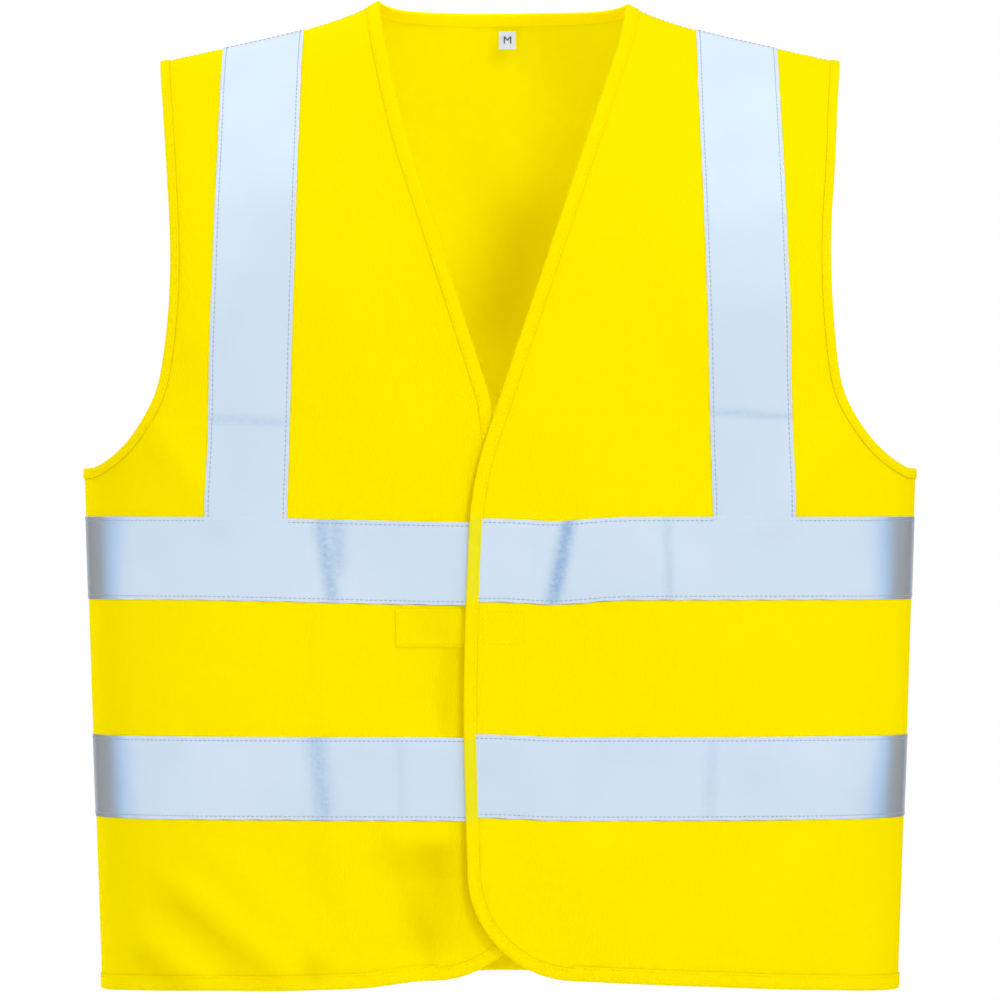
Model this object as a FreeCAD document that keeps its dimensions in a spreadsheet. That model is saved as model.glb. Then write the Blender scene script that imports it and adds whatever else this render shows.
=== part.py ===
import FreeCAD, Part
import math
import os

# High visibility vest, closed and filled out as when it is worn, in millimetres.
# +Z is up, the front faces -Y and +X is the wearer's left.
# The origin lies midway between the two neck points, where a hanger carries the shoulders.

DIMENSIONS = {
    # the round shape that the cloth follows
    "chest_half": 253.0,
    "hem_half": 242.0,
    "hem_half_height": -593.0,
    "body_depth_half": 95.0,
    "section_power": 2.8,
    "lap_lift": 4.0,
    "ridge_slope": 0.22,
    "ridge_reach": 48.5,
    "ridge_round": 30.0,
    "neck_rise": 38.9,
    "neck_rise_width": 60.0,
    "shoulder_round": 180.0,
    "shoulder_power": 1.7,
    "form_foot": -640.0,
    # cloth thicknesses, counted outwards from the inside of the cloth
    "cloth_thick": 0.8,
    "tape_start": 1.2,
    "trim_thick": 1.8,
    "inner_start": -1.2,
    "inner_end": -0.4,
    "piece_gap": 0.3,
    # outline of the fronts and the back
    "neck_half": 77.0,
    "back_neck_drop": 2.0,
    "back_neck_flat": 68.0,
    "over_neck_lean": -6.0,
    "over_neck_round": -130.0,
    "over_vee_lean": -18.5,
    "over_vee_long": 249.7,
    "over_lap_round": 220.0,
    "over_lap_lean": 0.0,
    "under_neck_lean": -8.0,
    "under_neck_round": -590.0,
    "under_vee_lean": -19.0,
    "under_vee_long": 119.0,
    "under_lap_round": 55.0,
    "under_lap_lean": -6.3,
    "corner_round": 66.0,
    "front_hem_middle": -588.5,
    "back_hem_middle": -594.0,
    "hem_slope": 0.045,
    "tip_half": 207.0,
    "tip_height": -34.0,
    "underarm_height": -283.0,
    "arm_lean": -5.0,
    "arm_middle_lean": 9.0,
    "arm_foot_lean": 67.6,
    "arm_middle_round": 420.0,
    "arm_foot_round": 80.0,
    # folded edges and tapes
    "edge_fold": 7.0,
    "arm_fold": 6.0,
    "hem_fold": 9.0,
    "neck_fold": 8.0,
    "tape_wide": 50.0,
    "upper_band": -337.0,
    "lower_band": -469.0,
    "brace_top": 144.0,
    "brace_foot": 152.5,
    "brace_top_height": -15.0,
    # hook and loop closure, labels and seam allowances
    "closure_high": 23.0,
    "closure_drop": 5.0,
    "loop_outer": -63.0,
    "loop_inner": -2.5,
    "hook_outer": -12.0,
    "hook_inner": 16.0,
    "loop_start": 1.2,
    "loop_end": 2.2,
    "hook_start": -1.4,
    "hook_end": -0.4,
    "allowance": 12.0,
    "label_thick": 0.5,
    "size_label_wide": 10.4,
    "size_label_high": 11.5,
    "size_label_side": 4.6,
    "size_label_drop": 13.0,
    "care_label_wide": 34.0,
    "care_label_high": 60.0,
    "care_label_height": -530.0,
    "label_clear": 2.0,
}

TOP_MARGIN = 16.0  # the cutting shapes reach this far above the neck points
SIDE_MARGIN = 20.0  # and this far outside the side seams
CUT_DEPTH = 130.0  # and this far in front of and behind the shoulders
ROWS, COLUMNS = 30, 28  # points that each round surface is drawn through
ROW_CROWDING = 1.6  # rows stand closer together near the shoulders

FRONT, BACK = -1, 1
LEFT, RIGHT = 1, -1
OUTWARDS, INWARDS = 1, -1  # the side of an edge that the cloth lies on, seen going down it

doc = FreeCAD.newDocument("vest")
sheet = doc.addObject("Spreadsheet::Sheet", "dims")
for row, (alias, value) in enumerate(DIMENSIONS.items(), start=1):
    sheet.set(f"A{row}", alias)
    sheet.set(f"B{row}", str(value))
    sheet.setAlias(f"B{row}", alias)
doc.recompute()

pieces = []


def dim(alias):
    """A driving dimension, read back from the sheet."""
    return float(sheet.get(alias))


# ---------------------------------------------------------------- the round shape


def ridge_height(x, grow):
    """Height of the line over the shoulders and, between the neck points, over the neck."""
    slope = dim("ridge_slope") * (dim("ridge_reach") - math.hypot(x, dim("ridge_round")))
    neck = dim("neck_rise") * math.exp(-((x / dim("neck_rise_width")) ** 2))
    return slope + neck + grow


def half_width(z, grow):
    """Half the width at a height: even down to the underarm, then narrowing to the hem."""
    way = (dim("underarm_height") - z) / (dim("underarm_height") - dim("hem_half_height"))
    narrowing = max(0.0, way) * (dim("chest_half") - dim("hem_half"))
    return dim("chest_half") - narrowing + grow


def depth_share(drop):
    """Share of the full depth reached at a drop below the shoulder line."""
    way = min(1.0, max(0.0, drop / dim("shoulder_round")))
    power = dim("shoulder_power")
    return (1.0 - (1.0 - way) ** power) ** (1.0 / power)


def round_surface(facing, grow, lift):
    """The front or back surface, grown outwards by one distance and lifted by another."""
    power = dim("section_power")
    foot = dim("form_foot")
    rows = []
    for j in range(ROWS + 1):
        fall = (j / ROWS) ** ROW_CROWDING
        row = []
        for i in range(COLUMNS + 1):
            angle = math.pi * (i / COLUMNS - 0.5)
            sine, cosine = math.sin(angle), abs(math.cos(angle))
            reach = (abs(sine) ** power + cosine**power) ** (-1.0 / power)
            top = ridge_height(dim("chest_half") * reach * sine, grow)
            z = top - fall * (top - foot)
            depth = 0.0
            if 0 < i < COLUMNS and j > 0:
                depth = (dim("body_depth_half") + lift + grow) * reach * cosine * depth_share(top - z)
            row.append(FreeCAD.Vector(half_width(z, grow) * reach * sine, facing * depth, z))
        rows.append(row)
    surface = Part.BSplineSurface()
    surface.interpolate(rows)
    return surface.toShape(), rows


def round_solid(facing, grow, lift):
    """Everything between the middle plane and the front or back surface."""
    face, rows = round_surface(facing, grow, lift)
    foot_line = Part.makeLine(rows[-1][0], rows[-1][-1])
    foot_curve = [e for e in face.Edges if abs(e.CenterOfMass.z - dim("form_foot")) < 1e-6]
    middle_curves = [e for e in face.Edges if abs(e.CenterOfMass.y) < 1e-6]
    middle = Part.Face(Part.Wire(Part.__sortEdges__(middle_curves + [foot_line])))
    foot = Part.Face(Part.Wire(Part.__sortEdges__(foot_curve + [foot_line])))
    shell = Part.makeShell([face, middle, foot])
    shell.sewShape()
    solid = Part.makeSolid(shell)
    if solid.Volume < 0:
        solid.reverse()
    return solid


forms = {}


def form(facing, grow, lift):
    """One round solid as an object of the document, made once."""
    key = (facing, grow, lift)
    if key not in forms:
        obj = doc.addObject("Part::Feature", "form")
        obj.Shape = round_solid(facing, grow, lift)
        forms[key] = obj
    return forms[key]


layers = {}


def layer(facing, start, end, lift=0.0):
    """The space between two grown surfaces, which one thickness of cloth fills."""
    key = (facing, start, end, lift)
    if key not in layers:
        cut = doc.addObject("Part::Cut", "layer")
        cut.Base = form(facing, end, lift)
        cut.Tool = form(facing, start, lift)
        layers[key] = cut
    return layers[key]


# ---------------------------------------------------------------- outlines, seen from the front


def heading_vector(heading):
    """A direction in the outline: 0 is straight down and 90 is away from the middle."""
    turn = math.radians(heading)
    return math.sin(turn), -math.cos(turn)


def walk(start, heading, steps, inset, cloth):
    """Follow an edge of the cloth, at a distance inside it.

    Each step is a straight length, or a radius and the heading that the bend ends at.
    A negative radius bends away from the cloth on an edge that has it outwards.
    """
    turn = math.radians(heading)
    x = start[0] + cloth * inset * math.cos(turn)
    z = start[1] + cloth * inset * math.sin(turn)
    chain = []
    for step in steps:
        if len(step) == 1:
            dx, dz = heading_vector(heading)
            end = (x + dx * step[0], z + dz * step[0])
            chain.append([(x, z), end])
        else:
            radius = step[0] - cloth * inset
            middle = bend_end(x, z, heading, (heading + step[1]) / 2, radius)
            end = bend_end(x, z, heading, step[1], radius)
            chain.append([(x, z), middle, end])
            heading = step[1]
        x, z = end
    return chain


def bend_end(x, z, heading, new_heading, radius):
    """Where a bend to the left, of one radius, ends."""
    first, last = math.radians(heading), math.radians(new_heading)
    dx = radius * (math.cos(first) - math.cos(last))
    dz = -radius * (math.sin(last) - math.sin(first))
    return x + dx, z + dz


def hem_heading():
    """Heading of the bottom edge, which falls a little towards the side seams."""
    return 90.0 - math.degrees(math.atan(dim("hem_slope")))


def length_to_corner(x, z, heading):
    """Straight length down from a point that leaves room for the corner above the hem."""
    turn, last = math.radians(heading), math.radians(hem_heading())
    corner_x, corner_z = bend_end(x, z, heading, hem_heading(), dim("corner_round"))
    short = corner_z - dim("front_hem_middle") + dim("hem_slope") * corner_x
    return short / (math.cos(turn) - dim("hem_slope") * math.sin(turn))


def front_edge(side, inset):
    """Neck, front edge and rounded lower corner of one front, from the top down."""
    word = "over" if side == LEFT else "under"
    neck_lean, lap_lean = dim(f"{word}_neck_lean"), dim(f"{word}_lap_lean")
    dx, dz = heading_vector(neck_lean)
    start = (dim("neck_half") - dx * TOP_MARGIN, -dz * TOP_MARGIN)
    steps = [
        (TOP_MARGIN,),
        (dim(f"{word}_neck_round"), dim(f"{word}_vee_lean")),
        (dim(f"{word}_vee_long"),),
        (dim(f"{word}_lap_round"), lap_lean),
    ]
    lap_x, lap_z = walk(start, neck_lean, steps, 0.0, OUTWARDS)[-1][-1]
    steps.append((length_to_corner(lap_x, lap_z, lap_lean),))
    steps.append((dim("corner_round"), hem_heading()))
    return walk(start, neck_lean, steps, inset, OUTWARDS)


def front_hem_edge(side, inset, gap=0.0):
    """Bottom edge of one front, from its rounded corner to beyond the side seam."""
    x, z = front_edge(side, 0.0)[-1][-1]
    dx, dz = heading_vector(hem_heading())
    start = (x + dx * gap, z + dz * gap)
    return walk(start, hem_heading(), [((side_limit() - start[0]) / dx,)], inset, OUTWARDS)


def back_hem_edge(inset):
    """Bottom edge of the back, from the wearer's right to left."""
    side = side_limit()
    middle = dim("back_hem_middle") + inset
    low = dim("front_hem_middle") - dim("hem_slope") * side + inset
    return [[(-side, low), (0.0, middle), (side, low)]]


def armhole_edge(inset):
    """Armhole from above the shoulder down to beyond the side seam."""
    lean, middle, foot = dim("arm_lean"), dim("arm_middle_lean"), dim("arm_foot_lean")
    bends = 0.0
    for radius, first, last in (
        (dim("arm_middle_round"), lean, middle),
        (dim("arm_foot_round"), middle, foot),
    ):
        bends += radius * (math.sin(math.radians(last)) - math.sin(math.radians(first)))
    straight = (dim("tip_height") - dim("underarm_height") - bends) / math.cos(math.radians(lean))
    dx, dz = heading_vector(lean)
    above = TOP_MARGIN - dim("tip_height")
    start = (dim("tip_half") - dx * above, dim("tip_height") - dz * above)
    steps = [
        (above + straight,),
        (dim("arm_middle_round"), middle),
        (dim("arm_foot_round"), foot),
        (SIDE_MARGIN,),
    ]
    return walk(start, lean, steps, inset, INWARDS)


def reverse(chain):
    """The same chain walked from its end to its start."""
    return [list(reversed(part)) for part in reversed(chain)]


def corners(*points):
    """A chain of straight parts through the points."""
    return [[first, second] for first, second in zip(points, points[1:])]


def cutter(facing, side, chain):
    """A prism through the cloth, with the outline that a closed chain gives."""
    plane = facing * dim("piece_gap")
    points = [FreeCAD.Vector(side * x, plane, z) for part in chain for x, z in part]
    edges = []
    at = 0
    for part in chain:
        run = points[at : at + len(part)]
        if edges and run[0].distanceToPoint(last) > 1e-6:
            edges.append(Part.makeLine(last, run[0]))
        edges.append(Part.makeLine(*run) if len(run) == 2 else Part.Arc(*run).toShape())
        last = run[-1]
        at += len(part)
    if last.distanceToPoint(points[0]) > 1e-6:
        edges.append(Part.makeLine(last, points[0]))
    flat = doc.addObject("Part::Feature", "outline")
    flat.Shape = Part.Face(Part.Wire(edges))
    prism = doc.addObject("Part::Extrusion", "prism")
    prism.Base = flat
    prism.DirMode = "Custom"
    prism.Dir = FreeCAD.Vector(0, facing, 0)
    prism.LengthFwd = CUT_DEPTH
    return prism


def side_limit():
    """A distance from the middle that is outside every side seam."""
    return dim("chest_half") + SIDE_MARGIN


def piece(name, facing, start, end, tool, lift=0.0):
    """One piece of cloth: what the cutter takes out of one thickness."""
    common = doc.addObject("Part::Common", name)
    common.Base = layer(facing, start, end, lift)
    common.Tool = tool
    common.Label = name
    pieces.append(common)
    return common


# ---------------------------------------------------------------- the sub-parts


panel_cutters = {}


def front_panel(name, side, lift):
    gap = dim("piece_gap")
    outline = (
        front_edge(side, dim("edge_fold") + gap)
        + front_hem_edge(side, dim("hem_fold") + gap)
        + reverse(armhole_edge(dim("arm_fold") + gap))
    )
    panel_cutters[side] = cutter(FRONT, side, outline)
    piece(name, FRONT, 0.0, dim("cloth_thick"), panel_cutters[side], lift)


def front_binding(name, side, lift):
    outline = front_edge(side, 0.0) + reverse(front_edge(side, dim("edge_fold")))
    piece(name, FRONT, 0.0, dim("trim_thick"), cutter(FRONT, side, outline), lift)


def armhole_hem(name, facing, side, lift):
    outline = armhole_edge(0.0) + reverse(armhole_edge(dim("arm_fold")))
    piece(name, facing, 0.0, dim("trim_thick"), cutter(facing, side, outline), lift)


def patch(name, inner, outer, start, end, lift=0.0):
    """Hook or loop cloth just below the upper band, given by its sides."""
    high = dim("upper_band") - dim("tape_wide") / 2 - dim("closure_drop")
    low = high - dim("closure_high")
    outline = corners((inner, low), (outer, low), (outer, high), (inner, high))
    piece(name, FRONT, start, end, cutter(FRONT, LEFT, outline), lift)


def front_hem(name, side, lift):
    gap = dim("piece_gap")
    outline = front_hem_edge(side, 0.0, gap) + reverse(front_hem_edge(side, dim("hem_fold"), gap))
    piece(name, FRONT, 0.0, dim("trim_thick"), cutter(FRONT, side, outline), lift)


def back_hem(name):
    outline = back_hem_edge(0.0) + reverse(back_hem_edge(dim("hem_fold")))
    piece(name, BACK, 0.0, dim("trim_thick"), cutter(BACK, LEFT, outline))


def band_block(facing, middle):
    """A block as high as the tape, round the front or the back half of the chest."""
    block = doc.addObject("Part::Box", "band_block")
    block.Length = 2 * side_limit()
    block.Width = CUT_DEPTH
    block.setExpression("Height", "dims.tape_wide")
    front_of_block = -CUT_DEPTH if facing == FRONT else dim("piece_gap")
    block.Placement.Base = FreeCAD.Vector(-side_limit(), front_of_block, 0)
    block.setExpression("Placement.Base.z", f"dims.{middle} - dims.tape_wide / 2")
    return block


def front_band(name, side, middle, lift):
    """Tape from the folded front edge to the side seam."""
    tool = doc.addObject("Part::Common", "band_cutter")
    tool.Base = band_block(FRONT, middle)
    tool.Tool = panel_cutters[side]
    piece(name, FRONT, dim("tape_start"), dim("trim_thick"), tool, lift)


def back_band(name, middle):
    """Tape across the whole back."""
    piece(name, BACK, dim("tape_start"), dim("trim_thick"), band_block(BACK, middle))


def brace(name, facing, side, lift):
    """Tape from the shoulder down to the upper band, leaning slightly outwards."""
    half = dim("tape_wide") / 2
    foot = dim("upper_band") + half + dim("piece_gap")
    lean = (dim("brace_foot") - dim("brace_top")) / (dim("brace_top_height") - foot)
    top = dim("brace_top") - lean * (TOP_MARGIN - dim("brace_top_height"))
    outline = corners(
        (dim("brace_foot") - half, foot),
        (dim("brace_foot") + half, foot),
        (top + half, TOP_MARGIN),
        (top - half, TOP_MARGIN),
    )
    piece(name, facing, dim("tape_start"), dim("trim_thick"), cutter(facing, side, outline), lift)


def neck_line(drop):
    """Back neckline from the wearer's right to left, at a distance below the edge."""
    flat, half = dim("back_neck_flat"), dim("neck_half")
    low = -dim("back_neck_drop") - drop
    rise = dim("back_neck_drop")
    return corners(
        (-half - drop, TOP_MARGIN),
        (-half - drop, low + rise),
        (-flat - drop / 2, low),
        (flat + drop / 2, low),
        (half + drop, low + rise),
        (half + drop, TOP_MARGIN),
    )


def mirrored(chain):
    """The chain on the other side of the middle."""
    return [[(-x, z) for x, z in part] for part in chain]


def back_panel(name):
    gap = dim("piece_gap")
    arm = armhole_edge(dim("arm_fold") + gap)
    outline = (
        neck_line(dim("neck_fold") + gap)
        + arm
        + reverse(back_hem_edge(dim("hem_fold") + gap))
        + reverse(mirrored(arm))
    )
    piece(name, BACK, 0.0, dim("cloth_thick"), cutter(BACK, LEFT, outline))


def back_neck_hem(name):
    outline = neck_line(0.0) + reverse(neck_line(dim("neck_fold")))
    piece(name, BACK, 0.0, dim("trim_thick"), cutter(BACK, LEFT, outline))


def allowance(name, side, low, high, inner, outer):
    """Seam allowance folded back inside the garment, along a seam in the middle plane."""
    block = doc.addObject("Part::Box", "allowance_block")
    block.setExpression("Width", "dims.allowance")
    block.Length = outer - inner
    block.Height = high - low
    corner = inner if side == LEFT else -outer
    block.Placement.Base = FreeCAD.Vector(corner, 0, low)
    block.setExpression("Placement.Base.y", "dims.piece_gap")
    piece(name, BACK, dim("inner_start"), dim("inner_end"), block)


def label(name, wide, high, place):
    """A small flat label with its own place."""
    box = doc.addObject("Part::Box", name)
    box.Label = name
    box.setExpression("Length", wide)
    box.setExpression("Width", "dims.label_thick")
    box.setExpression("Height", high)
    box.Placement = place
    pieces.append(box)


def size_label(name):
    """Label under the back neck, lying along the slope of the cloth behind it."""
    top, high = -dim("size_label_drop"), dim("size_label_high")
    depths = []
    for z in (top, top - high):
        depths.append(dim("body_depth_half") * depth_share(ridge_height(0.0, 0.0) - z))
    tilt = math.degrees(math.atan2(depths[1] - depths[0], high))
    turn = FreeCAD.Rotation(FreeCAD.Vector(1, 0, 0), tilt)
    corner = FreeCAD.Vector(-dim("size_label_wide") / 2, 0, -high)
    hung = FreeCAD.Vector(dim("size_label_side"), depths[0] - dim("label_clear"), top)
    label(name, "dims.size_label_wide", "dims.size_label_high", FreeCAD.Placement(hung + turn.multVec(corner), turn))


def care_label(name):
    """Label caught in the wearer's left side seam, lying against the inside of the back."""
    low = dim("care_label_height")
    wide = dim("care_label_wide")
    seam = half_width(low, 0.0) - dim("label_clear")
    share = 1.0 - (wide / dim("body_depth_half")) ** dim("section_power")
    inner = half_width(low, 0.0) * share ** (1.0 / dim("section_power")) - 2 * dim("label_clear")
    lean = math.degrees(math.asin((seam - inner) / wide))
    turn = FreeCAD.Rotation(FreeCAD.Vector(0, 0, 1), 90.0 + lean)
    place = FreeCAD.Placement(FreeCAD.Vector(seam, dim("label_clear"), low), turn)
    label(name, "dims.care_label_wide", "dims.care_label_high", place)


for side, word in ((LEFT, "left"), (RIGHT, "right")):
    lift = dim("lap_lift") if side == LEFT else 0.0
    front_panel(f"{word}_front_panel", side, lift)
    front_binding(f"{word}_front_edge_binding", side, lift)
    front_hem(f"{word}_front_hem", side, lift)
    armhole_hem(f"{word}_front_armhole_hem", FRONT, side, lift)
    armhole_hem(f"{word}_back_armhole_hem", BACK, side, 0.0)
    front_band(f"{word}_front_upper_band", side, "upper_band", lift)
    front_band(f"{word}_front_lower_band", side, "lower_band", lift)
    brace(f"{word}_front_brace_tape", FRONT, side, lift)
    brace(f"{word}_back_brace_tape", BACK, side, 0.0)
    allowance(
        f"{word}_shoulder_seam", side, dim("underarm_height"), TOP_MARGIN,
        dim("neck_half") + dim("neck_fold"), dim("tip_half") - dim("arm_fold"),
    )
    allowance(
        f"{word}_side_seam", side, dim("hem_half_height") + dim("hem_fold"),
        dim("underarm_height") - 3 * dim("arm_fold"), dim("hem_half") - dim("allowance"), side_limit(),
    )

back_panel("back_panel")
back_neck_hem("back_neck_hem")
back_hem("back_hem")
back_band("back_upper_band", "upper_band")
back_band("back_lower_band", "lower_band")
patch("loop_patch", dim("loop_inner"), dim("loop_outer"), dim("loop_start"), dim("loop_end"))
patch("hook_patch", dim("hook_outer"), dim("hook_inner"), dim("hook_start"), dim("hook_end"), dim("lap_lift"))
size_label("size_label")
care_label("care_label")

# ---------------------------------------------------------------- check and write

doc.recompute()
for obj in doc.Objects:
    if "Invalid" in obj.State or "Error" in obj.State:
        raise RuntimeError(f"{obj.Label} did not compute: {obj.State}")

os.makedirs("parts", exist_ok=True)
for sub_part in pieces:
    shape = sub_part.Shape
    if shape.isNull() or not shape.isValid() or len(shape.Solids) != 1:
        raise RuntimeError(f"{sub_part.Label} is not one valid solid")
    shape.exportStep(f"parts/{sub_part.Label}.step")
    print(f"{sub_part.Label}: {shape.Volume:.0f} mm3")
print(len(pieces), "pieces")
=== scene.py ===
import math

import bmesh
import bpy
import numpy as np
from mathutils import Matrix, Vector
from mathutils.geometry import delaunay_2d_cdt


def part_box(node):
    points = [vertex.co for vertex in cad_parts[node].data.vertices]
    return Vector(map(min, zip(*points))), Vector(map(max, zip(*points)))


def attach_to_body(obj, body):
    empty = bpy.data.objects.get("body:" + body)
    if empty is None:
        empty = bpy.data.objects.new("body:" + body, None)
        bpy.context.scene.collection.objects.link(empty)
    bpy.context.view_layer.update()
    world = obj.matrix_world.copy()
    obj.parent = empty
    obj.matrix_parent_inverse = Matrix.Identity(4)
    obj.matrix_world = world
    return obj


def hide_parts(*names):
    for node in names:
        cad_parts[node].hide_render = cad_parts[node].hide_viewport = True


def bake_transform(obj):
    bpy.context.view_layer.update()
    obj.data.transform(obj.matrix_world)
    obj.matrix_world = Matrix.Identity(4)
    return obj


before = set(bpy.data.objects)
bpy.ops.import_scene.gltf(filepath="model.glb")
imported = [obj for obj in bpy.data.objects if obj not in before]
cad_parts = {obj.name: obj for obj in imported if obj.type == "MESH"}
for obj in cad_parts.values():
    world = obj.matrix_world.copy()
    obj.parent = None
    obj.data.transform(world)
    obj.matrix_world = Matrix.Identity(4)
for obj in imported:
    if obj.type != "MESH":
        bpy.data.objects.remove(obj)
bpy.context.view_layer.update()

# High visibility vest. Lengths are in millimetres until a mesh is made, which is in metres.
MM = 0.001
LEFT, RIGHT, BACK = 1, -1, "back"  # the wearer's left and right fronts, by the sign of x, and the back
PARTS = (LEFT, RIGHT, BACK)
WORD = {LEFT: "left", RIGHT: "right"}
FACING = {LEFT: -1, RIGHT: -1, BACK: 1}  # the sign of y

# ---- sizes from the frame


def span(node, axis):
    """Lowest and highest place of a CAD node along one axis, in millimetres."""
    low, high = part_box(node)
    return low[axis] / MM, high[axis] / MM


CLOTH = 0.8  # the CAD cloth's thickness
CHEST_HALF = span("back_panel", 0)[1] - CLOTH
BODY_DEPTH = span("back_panel", 1)[1] - CLOTH
UPPER_BAND = sum(span("back_upper_band", 2)) / 2
LOWER_BAND = sum(span("back_lower_band", 2)) / 2
LOOP = span("loop_patch", 0), span("loop_patch", 2)
HOOK = span("hook_patch", 0), span("hook_patch", 2)

# the round shape that the cloth follows, as in the CAD model
HEM_HALF = 242.0
SECTION_POWER = 2.8
SHOULDER_ROUND, SHOULDER_POWER = 180.0, 1.7
RIDGE_SLOPE, RIDGE_REACH, RIDGE_ROUND = 0.22, 48.5, 30.0
NECK_RISE, NECK_RISE_WIDTH = 38.9, 60.0
UNDERARM, HEM_MIDDLE, HEM_SLOPE = -283.0, -587.8, 0.045
# the under front hangs lower beside its corner, from the first stretch to the second
HEM_SAG, SAG_START, SAG_END = {LEFT: 0.0, RIGHT: 3.0}, (45.0, 85.0), (95.0, 225.0)
BACK_HEM_MIDDLE = -594.0
LIFT = {LEFT: 3.2, RIGHT: 0.0, BACK: 0.0}  # the top front lies outside the under one
# how much further its edge stands off, and where that fades across it and starts down it
LAP_CURL, LAP_CURL_ACROSS, LAP_CURL_DOWN = 2.2, (-20.0, 12.0), (225.0, 310.0)

# outlines: the neck points and the back neckline between them, the front corners, the shoulder tips
NECK = {LEFT: 77.0, RIGHT: 73.5}
BACK_NECK = -3.0
CORNER_ROUND = 66.0
TIP_HALF = 207.0
TAPE_WIDE = 50.0
EDGE_FOLD, ARM_FOLD, HEM_FOLD, NECK_FOLD = 7.5, 6.0, 9.0, 8.5

# heights above the inside of the CAD cloth
CLOTH_IN, CLOTH_OUT = 0.15, 0.60
TAPE_IN, TAPE_OUT = 0.70, 1.05
TRIM_OUT = 1.32
TRIM_IN = -0.55

GRID = 3.6  # spacing of the cloth meshes
STEP = 3.0  # spacing along edges and tapes

# ---- the round shape


def ridge_height(x):
    slope = RIDGE_SLOPE * (RIDGE_REACH - np.hypot(x, RIDGE_ROUND))
    return slope + NECK_RISE * np.exp(-((x / NECK_RISE_WIDTH) ** 2))


def half_width(z):
    way = np.maximum(0.0, (UNDERARM - z) / (UNDERARM + 593.0))
    return CHEST_HALF - way * (CHEST_HALF - HEM_HALF)


def depth_share(drop):
    way = np.clip(drop / SHOULDER_ROUND, 0.0, 1.0)
    return (1.0 - (1.0 - way) ** SHOULDER_POWER) ** (1.0 / SHOULDER_POWER)


def running_length(line):
    """Length of a line up to each of its points."""
    return np.concatenate([[0.0], np.cumsum(np.hypot(*np.diff(line, axis=0).T))])


angles = np.linspace(0.0, math.pi / 2, 1201)
reach = (np.sin(angles) ** SECTION_POWER + np.cos(angles) ** SECTION_POWER) ** (-1.0 / SECTION_POWER)
SECTION_X = reach * np.sin(angles)
SECTION_Y = reach * np.cos(angles)
SECTION_Y[-1] = 0.0
SECTION_LENGTH = running_length(np.stack([CHEST_HALF * SECTION_X, BODY_DEPTH * SECTION_Y], axis=-1))
QUARTER = SECTION_LENGTH[-1]

drops = np.concatenate([SHOULDER_ROUND * np.linspace(0.0, 1.0, 600) ** 2.2, [900.0]])
PROFILE_LENGTH = running_length(np.stack([drops, BODY_DEPTH * depth_share(drops)], axis=-1))


def flat(x, z):
    """Place on the flat cloth of a point seen from the front: across it and down it.

    The flat cloth is level wherever the worn cloth hangs straight, and the shoulder line bows above it.
    """
    share = np.clip(np.abs(x) / half_width(z), 0.0, 1.0)
    across = np.sign(x) * np.interp(share, SECTION_X, SECTION_LENGTH)
    ridge = ridge_height(x)
    down = np.interp(ridge - z, drops, PROFILE_LENGTH) - ridge
    return np.stack([across, down], axis=-1)


def fall(across, down):
    """Place across, and cloth length and drop below the shoulder line, of a point of the flat cloth."""
    length = np.clip(np.abs(across), 0.0, QUARTER)
    section_x = np.interp(length, SECTION_LENGTH, SECTION_X) * np.sign(across)
    x = CHEST_HALF * section_x
    for _ in range(3):
        ridge = ridge_height(x)
        run = np.maximum(down + ridge, 0.0)
        drop = np.interp(run, PROFILE_LENGTH, drops)
        x = half_width(ridge - drop) * section_x
    return x, run, drop


def base_spot(across, down, part):
    """Place in space of a point of the flat cloth."""
    length = np.clip(np.abs(across), 0.0, QUARTER)
    section_y = np.interp(length, SECTION_LENGTH, SECTION_Y)
    x, _, drop = fall(across, down)
    y = FACING[part] * (BODY_DEPTH + LIFT[part]) * section_y * depth_share(drop)
    return np.stack([x, y, ridge_height(x) - drop], axis=-1)


def outward(across, down, part):
    """Direction straight out of the cloth."""
    tiny = 0.4
    start = np.maximum(down, -ridge_height(fall(across, down)[0]))
    over = base_spot(across + tiny, start, part) - base_spot(across - tiny, start, part)
    below = base_spot(across, start + 2 * tiny, part) - base_spot(across, start, part)
    normal = FACING[part] * np.cross(over, below)
    return normal / np.linalg.norm(normal, axis=-1, keepdims=True)


def smooth(value, first, last):
    """0 before first, 1 after last and an even curve between them."""
    way = np.clip((value - first) / (last - first), 0.0, 1.0)
    return way * way * (3.0 - 2.0 * way)


# ---- folds and waves of the cloth

SWELL_WAVES = 7
# the seams pull the cloth in, and its folds die away towards them
SIDE_DIP, SHOULDER_DIP, DIP_WIDTH = 0.7, 0.6, 2.0
SIDE_CALM, SHOULDER_CALM = (2.0, 55.0), (2.0, 60.0)


def along_line(x, z, start, end):
    """Distance off a line, and a share that dies away at both of its ends."""
    along = np.array(end) - np.array(start)
    length = np.hypot(*along)
    unit = along / length
    dx, dz = x - start[0], z - start[1]
    way = (dx * unit[0] + dz * unit[1]) / length
    off = dx * unit[1] - dz * unit[0]
    return off, smooth(way, -0.15, 0.25) * (1.0 - smooth(way, 0.75, 1.15))


def fold(x, z, start, end, width, height):
    """A soft ridge along a line, or a furrow if its height is negative."""
    off, share = along_line(x, z, start, end)
    return height * share * np.exp(-((off / width) ** 2))


def slump(x, z, start, end, steep, gentle, depth):
    """A hollow along a line: steep on the side of the lap, gentle on the other."""
    off, share = along_line(x, z, start, end)
    shape = np.where(off < 0, 1.0 - smooth(-off, 0.0, steep), np.exp(-((off / gentle) ** 2)))
    return -depth * share * shape


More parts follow.
